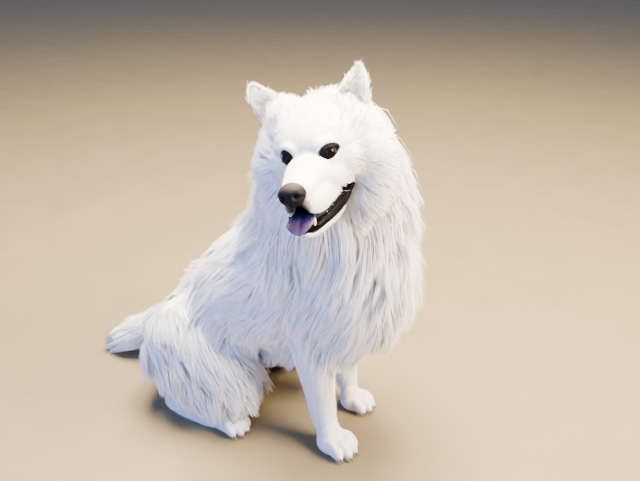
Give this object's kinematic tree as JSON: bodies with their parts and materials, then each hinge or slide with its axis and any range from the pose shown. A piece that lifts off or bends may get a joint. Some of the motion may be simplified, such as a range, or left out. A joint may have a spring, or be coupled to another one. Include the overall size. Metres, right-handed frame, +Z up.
{
  "type": "samoyed",
  "caption": "Life-size still model of a sitting, long-coated white spitz dog with its head turned back over its shoulder and its mouth open.",
  "frame": {"origin": "bottom centre of the dog's box, on the floor", "axes": "+X the way the chest faces, +Y the dog's left, +Z up"},
  "size_m": [0.7292, 0.413, 0.7173],
  "materials": {
    "coat": "long white fur",
    "nose": "damp black nose leather",
    "eye": "wet dark brown",
    "tongue": "wet pink"
  },
  "bodies": {
    "root": {"head": "coat", "jaw": "coat", "ear_left": "coat", "ear_right": "coat", "eye_left": "eye", "eye_right": "eye", "nose": "nose", "tongue": "tongue", "neck": "coat", "chest": "coat", "torso": "coat", "tail": "coat", "foreleg_right": "coat", "foreleg_left": "coat", "forepaw_right": "coat", "forepaw_left": "coat", "thigh_right": "coat", "thigh_left": "coat", "hock_right": "coat", "hock_left": "coat", "hindpaw_right": "coat", "hindpaw_left": "coat"}
  },
  "joints": []
}
